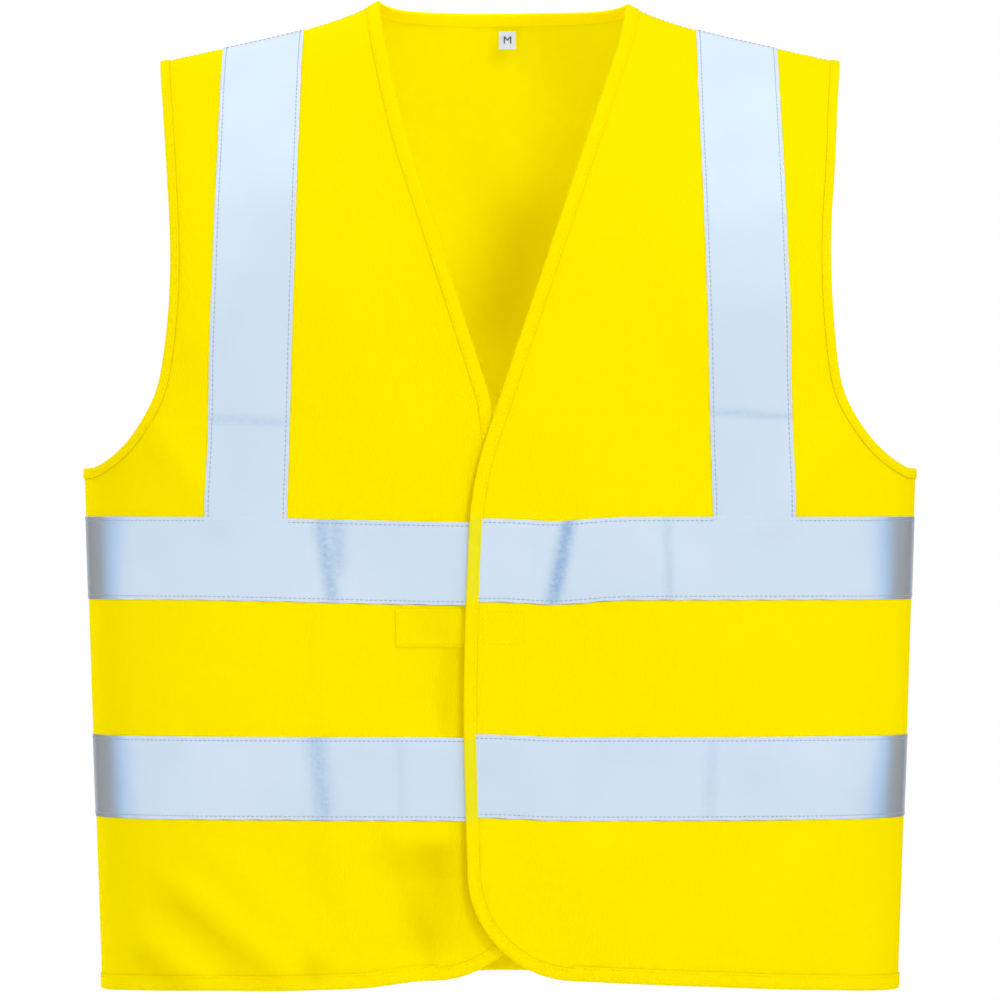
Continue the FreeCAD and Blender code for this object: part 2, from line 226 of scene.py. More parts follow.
def swell(x, z, seed, shortest, longest, height):
    """Broad uneven waves, the same on every run."""
    draw = np.random.default_rng(seed)
    total = np.zeros(np.shape(x))
    for k in range(SWELL_WAVES):
        wavelength = shortest * (longest / shortest) ** (k / (SWELL_WAVES - 1))
        angle = draw.uniform(0.0, math.pi)
        phase = draw.uniform(0.0, 2 * math.pi)
        run = x * math.cos(angle) + z * math.sin(angle)
        total = total + (wavelength / longest) * np.sin(2 * math.pi * run / wavelength + phase)
    return height * total / 2.0


# painted shade along the creases of the tape, dark and bluish: two ends, as (x, height), width and
# strength
TAPE_CREASE_SHADE_LINES = (
    ((-109, -305), (-99, -370), 4.5, 0.7),
    ((-99, -300), (-97, -350), 5.5, 0.5),
    ((-112, -430), (-104, -500), 6.0, 0.55),
    ((43, -305), (30, -372), 4.2, 1.0),
    ((100, -310), (102, -372), 3.0, 0.3),
    ((128, -440), (124, -500), 4.0, 0.2),
    ((-190, -252), (-120, -256), 2.5, 0.35),
    ((120, -249), (190, -253), 2.5, 0.35),
    ((-60, -440), (-58, -505), 3.0, 0.15),
)
# painted shade in the hollows of the folds, darker where light would not reach: two ends, as (x,
# height), width and strength
FRONT_PAINTED_SHADE_HOLLOWS = (
    ((-37, -506), (-37, -532), 17.0, 0.6),
    ((-37, -520), (-40, -572), 19.0, 0.4),
    ((-25, -372), (-33, -450), 6.0, 0.35),
    ((-203, -535), (-128, -592), 8.0, 0.4),
    ((-222, -575), (-185, -600), 7.0, 0.4),
    ((-110, -575), (-112, -592), 8.0, 0.35),
)
BACK_PAINTED_SHADE_HOLLOWS = (((24, -112), (-7, -205), 18.0, 0.6),)


# soft folds: two ends, as (x, height), width and rise
FRONT_FOLDS = (
    ((-205, -530), (-128, -590), 11.0, 4.2),
    ((-222, -560), (-170, -596), 8.0, 2.4),
    ((-160, -520), (-96, -585), 13.0, 2.2),
    ((-66, -492), (-30, -590), 9.0, 3.0),
    ((-100, -500), (-60, -592), 16.0, 2.2),
    ((-110, -290), (-96, -560), 9.0, 1.6),
    ((43, -303), (29, -372), 6.0, -1.8),
    ((101, -290), (97, -400), 9.0, 1.2),
    ((215, -250), (150, -330), 14.0, 2.8),
    ((-215, -250), (-160, -320), 12.0, 2.4),
    ((196, -70), (172, -210), 12.0, 2.0),
    ((-194, -80), (-176, -230), 12.0, 1.8),
    ((60, -60), (140, -240), 22.0, 2.6),
    ((-60, -80), (-110, -260), 20.0, 2.4),
    ((60, -500), (30, -592), 18.0, 2.0),
    ((190, -500), (150, -596), 14.0, 2.2),
)
BACK_FOLDS = (
    ((8, -90), (26, -210), 15.0, -3.5),
    ((-30, -60), (-10, -250), 20.0, 2.2),
    ((80, -330), (40, -590), 24.0, 2.5),
    ((-120, -400), (-95, -595), 20.0, 2.2),
    ((180, -240), (90, -330), 20.0, 2.0),
    ((-180, -240), (-100, -340), 20.0, 2.0),
)
# where the under front sinks beside the lap: two ends, steep and gentle width, and depth
FRONT_SLUMPS = (
    ((-34, -373), (-43, -440), 13.0, 26.0, 5.0),
    ((-52, -512), (-50, -588), 25.0, 28.0, 8.0),
)
# creases from folding for the packet, which are sharp and run right along or right across
CREASE_WIDTH = 1.8
UPRIGHT_CREASES, UPRIGHT_DEPTH = (-116.0, 125.0), 0.35
HEM_WAVES_TOP, HEM_WAVES_FULL = -540.0, -600.0
LEVEL_CREASE, LEVEL_DEPTH = -253.0, 0.3


def crease(distance, depth):
    """The sharp line that folding for the packet leaves."""
    return -depth * np.exp(-np.abs(distance) / CREASE_WIDTH)


def hem_waves(x, z, height, pitch, bend, bend_pitch):
    """The puckers of the bottom hem, which fade above it."""
    grown = smooth(z, HEM_WAVES_TOP, HEM_WAVES_FULL)
    return grown * height * np.sin(x / pitch + bend * np.sin(x / bend_pitch))


def front_relief(x, z):
    """How far the fronts stand off the round shape."""
    relief = swell(x, z, 11, 70.0, 260.0, 1.8)
    for line in FRONT_FOLDS:
        relief += fold(x, z, *line)
    for line in FRONT_SLUMPS:
        relief += slump(x, z, *line)
    return relief + hem_waves(x, z, 1.4, 11.5, 0.8, 31.0) + crease(z - LEVEL_CREASE, LEVEL_DEPTH)


def back_relief(x, z):
    """How far the back stands off the round shape."""
    relief = swell(x, z, 23, 80.0, 280.0, 2.2)
    for line in BACK_FOLDS:
        relief += fold(x, z, *line)
    return relief + hem_waves(x, z, 1.5, 13.0, 1.1, 37.0)


def cloth(spots, part, height):
    """Places in space of points of the flat cloth, at a height above the inside of the cloth."""
    across, down = spots[:, 0], spots[:, 1]
    base = base_spot(across, down, part)
    x, z = base[:, 0], base[:, 2]
    relief = back_relief(x, z) if part == BACK else front_relief(x, z)
    for upright in UPRIGHT_CREASES:
        relief += crease(x - upright, UPRIGHT_DEPTH)
    if part == LEFT:
        relief += LAP_CURL * (1.0 - smooth(x, *LAP_CURL_ACROSS)) * smooth(-z, *LAP_CURL_DOWN)
    run = fall(across, down)[1]
    off_side = QUARTER - np.abs(across)
    calm = smooth(off_side, *SIDE_CALM) * smooth(run, *SHOULDER_CALM)
    dip = SIDE_DIP * np.exp(-((off_side / DIP_WIDTH) ** 2))
    dip += SHOULDER_DIP * np.exp(-((run / DIP_WIDTH) ** 2))
    rise = relief * calm - dip + height
    return base + outward(across, down, part) * rise[:, None]


# ---- outlines


def walk(start, heading, steps):
    """Points along an edge. A heading of 0 is straight down, 90 away from the middle.

    Each step is a length, or a radius and the heading its bend ends at; a negative radius bends back.
    """
    x, z = start
    points = [(x, z)]
    for step in steps:
        first = math.radians(heading)
        if len(step) == 1:
            count = max(2, round(step[0] / 2.0))
            for k in range(1, count + 1):
                run = step[0] * k / count
                points.append((x + math.sin(first) * run, z - math.cos(first) * run))
        else:
            radius, heading = step
            last = math.radians(heading)
            count = max(3, round(abs(radius * (last - first)) / 2.0))
            for k in range(1, count + 1):
                turn = first + (last - first) * k / count
                dx = radius * (math.cos(first) - math.cos(turn))
                dz = -radius * (math.sin(turn) - math.sin(first))
                points.append((x + dx, z + dz))
        x, z = points[-1]
    return np.array(points), heading


HEM_HEADING = 90.0 - math.degrees(math.atan(HEM_SLOPE))
HEM_AT_SEAM = HEM_MIDDLE - HEM_SLOPE * HEM_HALF


def down_to_corner(start, heading):
    """Length of straight edge that leaves just room for the corner's bend above the hem."""
    turn, last = math.radians(heading), math.radians(HEM_HEADING)
    dx = CORNER_ROUND * (math.cos(turn) - math.cos(last))
    dz = -CORNER_ROUND * (math.sin(last) - math.sin(turn))
    short = start[1] + dz - HEM_MIDDLE + HEM_SLOPE * (start[0] + dx)
    return short / (math.cos(turn) - HEM_SLOPE * math.sin(turn))


def front_edge(side):
    """Neck, V and lap edge of a front, down to where its corner meets the hem."""
    start = (NECK[side], float(ridge_height(NECK[side])))
    if side == LEFT:
        steps = [(-130.0, -18.5), (247.0,), (220.0, -2.3), (45.0,), (1500.0, 1.7)]
        heading = -6.0
    else:
        steps = [(-640.0, -18.0), (131.0,), (45.0, -6.3)]
        heading = -7.5
    upper, lean = walk(start, heading, steps)
    straight = down_to_corner(upper[-1], lean)
    lower, _ = walk(tuple(upper[-1]), lean, [(straight,), (CORNER_ROUND, HEM_HEADING)])
    return np.concatenate([upper, lower[1:]])


def armhole_edge():
    """Armhole from the shoulder tip down to the side seam."""
    start = (TIP_HALF, float(ridge_height(TIP_HALF)))
    edge, _ = walk(start, -5.0, [(85.5,), (420.0, 9.0), (80.0, 67.6)])
    return edge[(edge[:, 0] <= CHEST_HALF - 0.6) & (edge[:, 1] > UNDERARM)]


def armhole_on_cloth(side):
    """Armhole on the flat cloth, on to the very end of it at the side seam."""
    edge = as_flat(armhole_edge(), side)
    foot = flat(np.array(side * CHEST_HALF), np.array(UNDERARM))
    return np.concatenate([edge, [foot]])


def hem_line(start_x, middle, slope, sag=0.0):
    """Bottom edge from a point near the middle out to the side seam."""
    side = float(half_width(middle - slope * HEM_HALF))
    xs = np.linspace(start_x, side, 120)
    hang = sag * smooth(xs, *SAG_START) * (1.0 - smooth(xs, *SAG_END))
    return np.stack([xs, middle - slope * xs - hang], axis=-1)


def seam_line():
    """Side seam from the underarm down to the hem."""
    zs = np.linspace(UNDERARM, HEM_AT_SEAM, 100)
    return np.stack([half_width(zs), zs], axis=-1)


def as_flat(points, side):
    """Outline points on the flat cloth, mirrored for the wearer's right."""
    return flat(side * points[:, 0], points[:, 1])


def even(points, step):
    """The same line with evenly spaced points."""
    length = running_length(points)
    count = max(2, int(round(length[-1] / step)))
    at = np.linspace(0.0, length[-1], count + 1)
    return np.stack([np.interp(at, length, points[:, i]) for i in (0, 1)], axis=-1)


def beside(points, cloth_side):
    """Unit directions from each point of a flat line into the cloth beside it."""
    tangent = np.gradient(points, axis=0)
    tangent /= np.linalg.norm(tangent, axis=1, keepdims=True)
    return cloth_side * np.stack([tangent[:, 1], -tangent[:, 0]], axis=-1)


# ---- meshes


def strongest(points, lines):
    """The strongest of several soft lines at each point, from 0 to 1."""
    share = np.zeros(len(points))
    for start, end, width, strength in lines:
        share = np.maximum(share, fold(points[:, 0], points[:, 2], start, end, width, strength))
    return share


def painted_crease_shade(points):
    """How much painted shade each point of the tape gets along its creases, from 0 to 1, and less
    behind.
    """
    return strongest(points, TAPE_CREASE_SHADE_LINES) * np.where(points[:, 1] < 0, 1.0, 0.6)


def painted_hollow_shade(points):
    """How much painted shade each point gets from lying in a hollow of a panel, from 0 to 1."""
    front = points[:, 1] < 0
    inner = np.arange(len(points)) >= len(points) // 2  # a panel lists its outer face first
    # the back gets its painted shade only on the inner face
    back_marks = strongest(points, BACK_PAINTED_SHADE_HOLLOWS) * inner
    return np.where(front, strongest(points, FRONT_PAINTED_SHADE_HOLLOWS), back_marks)


def over_tape(points):
    """Where the thin edge strip lies over a band of tape, which shows through it."""
    height = points[:, 2]
    share = np.zeros(len(points))
    for middle in (UPPER_BAND, LOWER_BAND):
        off = np.abs(height - middle) - TAPE_WIDE / 2
        share = np.maximum(share, 1.0 - smooth(off, -1.0, 1.0))
    return share


def make_object(name, points, faces, material, uv=None, sharp=40.0):
    """A smooth-shaded mesh from points in millimetres."""
    mesh = bpy.data.meshes.new(name)
    mesh.from_pydata((np.asarray(points) * MM).tolist(), [], faces)
    mesh.validate()
    if uv is not None:
        layer = mesh.uv_layers.new(name="cloth")
        corners = np.empty(len(mesh.loops), int)
        mesh.loops.foreach_get("vertex_index", corners)
        layer.data.foreach_set("uv", (np.asarray(uv) * MM)[corners].ravel())
    marks = {tape_cloth: painted_crease_shade, binding: over_tape, fabric: painted_hollow_shade, back_fabric_painted_light: painted_hollow_shade}
    if material in marks:
        share = mesh.attributes.new("mark", "FLOAT", "POINT")
        share.data.foreach_set("value", marks[material](np.asarray(points)))
    mesh.polygons.foreach_set("use_smooth", [True] * len(mesh.polygons))
    mesh.set_sharp_from_angle(angle=math.radians(sharp))
    mesh.materials.append(material)
    obj = bpy.data.objects.new(name, mesh)
    bpy.context.collection.objects.link(obj)
    return obj


def inside(points, loop):
    """Which points lie inside a closed flat loop."""
    result = np.zeros(len(points), bool)
    x, y = points[:, 0], points[:, 1]
    for (x1, y1), (x2, y2) in zip(loop, np.roll(loop, -1, axis=0)):
        crosses = (y1 > y) != (y2 > y)
        if y1 != y2:
            result ^= crosses & (x < (x2 - x1) * (y - y1) / (y2 - y1) + x1)
    return result


def clear_of(points, loop, gap):
    """Which points keep a distance from every point of a loop."""
    nearest = np.full(len(points), np.inf)
    for spot in loop:
        nearest = np.minimum(nearest, np.hypot(points[:, 0] - spot[0], points[:, 1] - spot[1]))
    return nearest > gap


def triangulated(loop, spacing):
    """Even triangles that fill a flat loop and keep its points."""
    low, high = loop.min(axis=0), loop.max(axis=0)
    rows = []
    for k, y in enumerate(np.arange(low[1], high[1], spacing * math.sqrt(0.75))):
        xs = np.arange(low[0] + (k % 2) * spacing / 2, high[0], spacing)
        rows.append(np.stack([xs, np.full(len(xs), y)], axis=-1))
    grid = np.concatenate(rows)
    grid = grid[inside(grid, loop)]
    grid = grid[clear_of(grid, loop, spacing * 0.62)]
    points = np.concatenate([loop, grid])
    ring = list(range(len(loop)))
    result = delaunay_2d_cdt([Vector(p) for p in points], [], [ring], 1, 1e-5)
    return np.array([tuple(v) for v in result[0]]), [tuple(f) for f in result[2]]


def boundary_edges(faces):
    """Directed edges that only one face uses."""
    seen = {}
    for face in faces:
        for a, b in zip(face, face[1:] + face[:1]):
            seen[(a, b)] = True
    return [(a, b) for a, b in seen if (b, a) not in seen]


def panel(name, loop, part, material):
    """A cut panel of cloth: both faces and the thin edge between them."""
    spots, faces = triangulated(loop, GRID)
    used = sorted({i for face in faces for i in face})
    renumber = {old: new for new, old in enumerate(used)}
    spots = spots[used]
    faces = [tuple(renumber[i] for i in face) for face in faces]
    outer, inner = cloth(spots, part, CLOTH_OUT), cloth(spots, part, CLOTH_IN)
    first = faces[0]
    turn = np.cross(outer[first[1]] - outer[first[0]], outer[first[2]] - outer[first[0]])
    if turn @ (outer[first[0]] - inner[first[0]]) < 0:
        faces = [face[::-1] for face in faces]
    count = len(spots)
    rim = [(b, a, a + count, b + count) for a, b in boundary_edges(faces)]
    back = [tuple(i + count for i in face[::-1]) for face in faces]
    uv = np.concatenate([spots, spots])
    return make_object(name, np.concatenate([outer, inner]), faces + back + rim, material, uv)


def strip(name, rows, length, material, turned=False):
    """A closed strip from the rows that go round its cross-section.

    A row is its place across the strip, its points on the flat cloth, its part and its height. The
    knit runs along the strip, or across it if turned.
    """
    points = np.stack([cloth(spots, part, height) for _, spots, part, height in rows], axis=1)
    uv = np.stack([np.stack([length, 0.0 * length + row[0]], axis=-1) for row in rows], axis=1)
    if turned:
        uv = uv[..., ::-1]
    count, ring = points.shape[:2]
    faces = []
    for i in range(count - 1):
        for j in range(ring):
            k = (j + 1) % ring
            faces.append((i * ring + j, i * ring + k, (i + 1) * ring + k, (i + 1) * ring + j))
    faces.append(tuple(reversed(range(ring))))
    faces.append(tuple((count - 1) * ring + j for j in range(ring)))
    obj = make_object(name, points.reshape(-1, 3), faces, material, uv.reshape(-1, 2))
    fix_outside(obj)
    return obj


def fix_outside(obj):
    """Turn the faces so that they all look outwards."""
    work = bmesh.new()
    work.from_mesh(obj.data)
    bmesh.ops.recalc_face_normals(work, faces=work.faces)
    work.to_mesh(obj.data)
    work.free()


def along_edge(name, line, side_in, profile, part, material, pucker=0.0):
    """A strip whose cross-section, as (distance into the cloth, height), follows a flat line."""
    line = even(line, STEP)
    inward = beside(line, side_in)
    length = running_length(line)
    wave = pucker * np.sin(length / 2.6 + 1.7 * np.sin(length / 9.0))
    rows = []
    for inset, height in profile:
        rows.append((inset, line + inward * inset, part, height + wave * (height > 0.5)))
    return strip(name, rows, length, material)


def wrap_profile(width):
    """Cross-section of an edge strip that wraps round the cloth, seen from its end."""
    top, low = TRIM_OUT, TRIM_IN
    return [
        (width, TAPE_OUT + 0.05), (width, top - 0.12), (width - 0.8, top),
        (width * 0.6, top + 0.05), (2.0, top + 0.05), (0.8, top - 0.05), (0.1, top - 0.4),
        (-0.15, 0.5 * (top + low)),
        (0.1, low + 0.4), (0.8, low + 0.05), (2.0, low), (width * 0.6, low),
        (width - 0.8, low + 0.05), (width, low + 0.15), (width, CLOTH_IN - 0.05),
        (1.2, CLOTH_IN - 0.05), (1.2, TAPE_OUT + 0.05),
    ]


SEWN_DIP, RIM_DIP, RIM_FLUTTER = 0.14, 0.12, 0.16  # how the stitches and the cut edge shape the tape


def tape_row(middle, place):
    """The line at one place across a tape; next to the shoulder line the tape is cut along that."""
    row = middle + beside(middle, 1) * place
    ridge = ridge_height(fall(middle[:, 0], middle[:, 1])[0])
    share = 1.0 - smooth(middle[:, 1] + ridge, 0.0, 80.0)
    row[:, 1] += share * (ridge - ridge_height(fall(row[:, 0], row[:, 1])[0]))
    return row


def tape(name, middle, part, brace_up=0):
    """A band of tape laid along a flat line.

    Where it covers the foot of a brace, brace_up is the sign of the places along its upper edge.
    """
    middle = even(middle, STEP)
    half = TAPE_WIDE / 2
    length = running_length(middle)
    rim_places = [half - inset for inset in (3.4, TAPE_STITCH, 1.2, 0.25, 0.0)]
    places = [-place for place in reversed(rim_places)]
    places += [*np.linspace(-half + 6.0, half - 6.0, 11), *rim_places]
    rows = []
    for place in places:
        rim = abs(place) > half - 0.1
        sewn = abs(abs(place) - (half - TAPE_STITCH)) < 0.1
        height = TAPE_OUT - SEWN_DIP * sewn - RIM_DIP * rim + over_brace(middle, brace_up * place)
        height += RIM_FLUTTER * np.sin(length / 3.1 + place) * (abs(place) > half - 1.5)
        rows.append((place, tape_row(middle, place), part, height))
    for place in reversed(places):
        height = TAPE_IN + over_brace(middle, brace_up * place)
        rows.append((place, tape_row(middle, place), part, height))
    return strip(name, rows, length, tape_cloth)


STITCH_LONG, STITCH_GAP, STITCH_THICK = 2.1, 0.8, 0.21
# along a stitch: share of its length, height, and share of its thickness
STITCH_SHAPE = (
    (0.0, -0.22, 0.35), (0.16, 0.0, 0.85), (0.5, 0.06, 1.0), (0.84, 0.0, 0.85), (1.0, -0.22, 0.35),
)
STITCH_SIDES = 6
STITCH_LIFT = 0.02
TAPE_STITCH, EDGE_STITCH, PATCH_STITCH = 2.3, 1.3, 1.8  # distances of the stitches from an edge
SHOULDER_STITCH = 5.0  # distance of the topstitching from the shoulder seam


class Thread:
    """Gathers single stitches into one piece."""

    def __init__(self):
        self.points, self.faces = [], []

    def sew(self, line, part, height):
        """A row of stitches along a flat line."""
        length = running_length(line)
        pitch = STITCH_LONG + STITCH_GAP
        for k in range(int(length[-1] // pitch)):
            start = k * pitch + STITCH_GAP / 2
            way = start + STITCH_LONG * np.array(STITCH_SHAPE)[:, 0]
            spots = np.stack([np.interp(way, length, line[:, i]) for i in (0, 1)], axis=-1)
            middle = cloth(spots, part, height + np.array(STITCH_SHAPE)[:, 1])
            up = outward(spots[:, 0], spots[:, 1], part)
            run = np.gradient(middle, axis=0)
            run /= np.linalg.norm(run, axis=1, keepdims=True)
            self.add(middle, up, np.cross(run, up))

    def add(self, middle, up, over):
        """One stitch from its middle line and the directions out of the cloth and across it."""
        first = len(self.points)
        for i, (_, _, share) in enumerate(STITCH_SHAPE):
            for j in range(STITCH_SIDES):
                turn = 2 * math.pi * j / STITCH_SIDES
                radius = STITCH_THICK * share
                offset = over[i] * math.cos(turn) * radius * 1.25 + up[i] * math.sin(turn) * radius
                self.points.append(middle[i] + offset)
        rings = len(STITCH_SHAPE)
        for i in range(rings - 1):
            for j in range(STITCH_SIDES):
                k = (j + 1) % STITCH_SIDES
                a, b = first + i * STITCH_SIDES, first + (i + 1) * STITCH_SIDES
                self.faces.append((a + j, a + k, b + k, b + j))
        self.faces.append(tuple(first + j for j in reversed(range(STITCH_SIDES))))
        last = first + (rings - 1) * STITCH_SIDES
        self.faces.append(tuple(last + j for j in range(STITCH_SIDES)))

    def piece(self, name, material):
        obj = make_object(name, np.array(self.points), self.faces, material, sharp=180.0)
        fix_outside(obj)
        return obj


# ---- materials

WALE, COURSE = 0.00125, 0.00105  # pitch of the knit across and down the cloth, in metres
TAPE_WEAVE = 0.0009
YARN_PITCH = 0.0006
# a steady glow for the knit's fluorescence, which also paints light into its shaded parts
FLUORESCENT_PAINTED_GLOW, FLUORESCENT_PAINTED_GLOW_STRENGTH = (1.0, 0.52, 0.0), 0.15
# the last tape colour is painted shade for its creases
TAPE_DULL, TAPE_BRIGHT, TAPE_PAINTED_CREASE_SHADE = (0.585, 0.70, 0.83), (0.64, 0.75, 0.865), (0.31, 0.475, 0.70)


class Shader:
    """A new material, with short ways to add its nodes."""

    def __init__(self, name):
        self.material = bpy.data.materials.new(name)
        self.material.use_nodes = True
        self.nodes = self.material.node_tree.nodes
        self.surface = self.nodes["Principled BSDF"]

    def fill(self, socket, value):
        """Link a socket to another node's output, or give it a number or a colour."""
        if isinstance(value, bpy.types.NodeSocket):
            self.material.node_tree.links.new(value, socket)
        else:
            socket.default_value = (*value, 1.0) if isinstance(value, tuple) else value

    def feed(self, node, **values):
        for name, value in values.items():
            self.fill(node.inputs[name.replace("_", " ")], value)

    def add(self, kind, **values):
        node = self.nodes.new(f"ShaderNode{kind}")
        self.feed(node, **values)
        return node

    def maths(self, operation, first, second=0.0):
        node = self.nodes.new("ShaderNodeMath")
        node.operation = operation
        for socket, value in zip(node.inputs, (first, second)):
            self.fill(socket, value)
        return node.outputs[0]

    def noise(self, scale, detail=2.0):
        place = self.add("TexCoord").outputs["Object"]
        return self.add("TexNoise", Scale=scale, Detail=detail, Vector=place).outputs["Fac"]

    def waves(self, pitch_across, pitch_down):
        """Sine waves across and down the cloth."""
        split = self.add("SeparateXYZ", Vector=self.add("TexCoord").outputs["UV"])
        across = self.maths("MULTIPLY", split.outputs["X"], 2 * math.pi / pitch_across)
        down = self.maths("MULTIPLY", split.outputs["Y"], 2 * math.pi / pitch_down)
        return self.maths("SINE", across), self.maths("SINE", down)

    def mixed(self, share, first, second):
        node = self.nodes.new("ShaderNodeMix")
        node.data_type = "RGBA"
        self.feed(node, Factor=share, A=first, B=second)
        return node.outputs["Result"]

    def mark(self):
        """The share that make_object has put on the mesh."""
        node = self.nodes.new("ShaderNodeAttribute")
        node.attribute_name = "mark"
        return node.outputs["Fac"]

    def bump(self, height, strength, distance):
        node = self.add("Bump", Strength=strength, Distance=distance, Height=height)
        self.feed(self.surface, Normal=node.outputs["Normal"])


def fabric_material(name, colour, shade, see_through, marked=None):
    """Fluorescent knit: fine wales and courses and slight unevenness.

    The marked colour is painted shade in hollows; on the edge strip it is the tape showing through.
    """
    shader = Shader(name)
    wale, course = shader.waves(WALE, COURSE)
    knit = shader.maths("MULTIPLY", wale, course)
    knit = shader.maths("ADD", knit, shader.maths("MULTIPLY", wale, 0.6))
    uneven = shader.maths("MULTIPLY", shader.noise(9.0, 5.0), 0.55)
    uneven = shader.maths("ADD", uneven, shader.maths("MULTIPLY", shader.noise(700.0), 0.25))
    uneven = shader.maths("SUBTRACT", uneven, shader.maths("MULTIPLY", knit, 0.05))
    base = shader.mixed(uneven, shade, colour)
    if marked is not None:
        base = shader.mixed(shader.mark(), base, marked)
    shader.bump(knit, 0.35, 0.0002)
    shader.feed(
        shader.surface, Base_Color=base, Roughness=0.75, Specular_IOR_Level=0.0,
        Emission_Color=FLUORESCENT_PAINTED_GLOW, Emission_Strength=FLUORESCENT_PAINTED_GLOW_STRENGTH,
    )
    through = shader.add("BsdfTranslucent", Color=base)
    both = shader.add("MixShader")
    for socket, value in zip(both.inputs, (see_through, shader.surface.outputs[0], through.outputs[0])):
        shader.fill(socket, value)
    shader.feed(shader.nodes["Material Output"], Surface=both.outputs[0])
    return shader.material


def tape_material(name):
    """Retroreflective tape: glass beads on a silvered cloth, with a faint weave."""
    shader = Shader(name)
    ramp = shader.nodes.new("ShaderNodeValToRGB")
    for stop, place, colour in zip(ramp.color_ramp.elements, (0.3, 0.7), (TAPE_DULL, TAPE_BRIGHT)):
        stop.position = place
        stop.color = (*colour, 1.0)
    shader.feed(ramp, Fac=shader.noise(14.0, 6.0))
    # patchy painted shade along the creases
    patchy = shader.maths("ADD", shader.maths("MULTIPLY", shader.noise(420.0, 3.0), 1.5), 0.25)
    crease_shade_share = shader.maths("MULTIPLY", shader.mark(), patchy)
    weave = shader.maths("MULTIPLY", *shader.waves(TAPE_WEAVE, TAPE_WEAVE))
    beads = shader.maths("ADD", shader.maths("MULTIPLY", weave, 0.4), shader.noise(1400.0))
    shader.bump(beads, 0.25, 0.00012)
    base = shader.mixed(crease_shade_share, ramp.outputs["Color"], TAPE_PAINTED_CREASE_SHADE)
    shader.feed(shader.surface, Base_Color=base, Metallic=0.8, Roughness=0.27)
    return shader.material


def plain_weave(name, colour, shade, roughness=0.6):
    """Small woven or twisted pieces: labels and thread."""
    shader = Shader(name)
    noise = shader.noise(1.0 / YARN_PITCH, 3.0)
    shader.bump(noise, 0.3, 0.0001)
    shader.feed(shader.surface, Base_Color=shader.mixed(noise, shade, colour), Roughness=roughness)
    return shader.material


# the last colour of each set is painted shade for the hollows
YELLOW, YELLOW_SHADE, YELLOW_PAINTED_HOLLOW_SHADE = (0.655, 0.572, 0.0), (0.62, 0.54, 0.0), (0.48, 0.39, 0.0)
# the back's colours are the same knit made lighter: painted light for its shaded inner side
BACK_YELLOW_PAINTED_LIGHT, BACK_YELLOW_PAINTED_LIGHT_DARKER, BACK_PAINTED_HOLLOW_SHADE = (0.86, 0.83, 0.0), (0.835, 0.80, 0.0), (0.72, 0.655, 0.0)
# the back neck hem is the same knit made lighter still: painted light for its shadowed edge
neck_fabric_painted_light = fabric_material("fluorescent_knit_neck_painted_light", (1.0, 0.97, 0.0), (0.97, 0.94, 0.0), 0.42)
fabric = fabric_material("fluorescent_knit", YELLOW, YELLOW_SHADE, 0.1, YELLOW_PAINTED_HOLLOW_SHADE)
back_fabric_painted_light = fabric_material("fluorescent_knit_back_painted_light", BACK_YELLOW_PAINTED_LIGHT, BACK_YELLOW_PAINTED_LIGHT_DARKER, 0.42, BACK_PAINTED_HOLLOW_SHADE)
binding = fabric_material("fluorescent_edge", YELLOW, YELLOW_SHADE, 0.1, (0.54, 0.535, 0.012))
tape_cloth = tape_material("reflective_tape")
yellow_thread = fabric_material("yellow_thread", (0.635, 0.54, 0.0), (0.60, 0.50, 0.0), 0.1)
grey_thread = plain_weave("grey_thread", (0.32, 0.35, 0.42), (0.22, 0.25, 0.31))
label_cloth = plain_weave("label_satin", (0.66, 0.78, 1.0), (0.60, 0.71, 0.93), roughness=0.45)
ink = plain_weave("label_ink", (0.06, 0.07, 0.08), (0.04, 0.05, 0.06))
loop_cloth = fabric_material("loop_pile", (0.66, 0.58, 0.0), (0.63, 0.55, 0.0), 0.1)
hook_cloth = fabric_material("hook_field", (0.625, 0.54, 0.0), (0.59, 0.505, 0.0), 0.1)

# ---- the garment

# how far the bands rise beside the lap, and over what distance
LAP_RISE = {
    (LEFT, "upper"): (-1.0, 60.0),
    (LEFT, "lower"): (2.0, 60.0),
    (RIGHT, "upper"): (-3.4, 200.0),
    (RIGHT, "lower"): (-1.2, 60.0),
}
PUCKER_SPOT, PUCKER_WIDE, PUCKER_SAG = 34.0, 24.0, 2.6  # where the upper band was sewn on with a sag


def attach(piece, part, slot, *nodes):
    """Hang a piece on the back, or fix a front piece where it stands, in place of the CAD nodes that it
    shows.
    """
    if part == BACK:
        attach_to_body(piece, "back")
    else:
        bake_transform(piece)
    if nodes:
        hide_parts(*nodes)


arm = {side: armhole_on_cloth(side) for side in (LEFT, RIGHT)}
edge = {side: as_flat(front_edge(side), side) for side in (LEFT, RIGHT)}
threads = {part: Thread() for part in PARTS}
tape_threads = {part: Thread() for part in PARTS}


def ridge_run(first, last):
    """The shoulder line between two distances from the middle."""
    xs = np.linspace(first, last, 60)
    return np.stack([np.abs(xs), ridge_height(xs)], axis=-1)


def closed_loop(*runs):
    """One loop from runs that follow each other, without doubled points."""
    points = [p for run in runs for p in even(run, GRID * 0.8)]
    kept = [points[0]]
    for p in points[1:]:
        if np.hypot(*(p - kept[-1])) > 0.4:
            kept.append(p)
    if np.hypot(*(kept[0] - kept[-1])) <= 0.4:
        kept.pop()
    return np.array(kept)


def band_line(side, start_x, middle, rise=0.0, reach=60.0, sag=0.0):
    """Middle line of a horizontal band, from near the front edge or the middle to the side seam."""
    xs = np.linspace(start_x, float(half_width(middle)), 200)
    zs = middle + rise * (1.0 - smooth(xs - start_x, 0.0, reach))
    zs -= sag * np.exp(-(((xs - PUCKER_SPOT) / PUCKER_WIDE) ** 2))
    return flat(side * xs, zs)


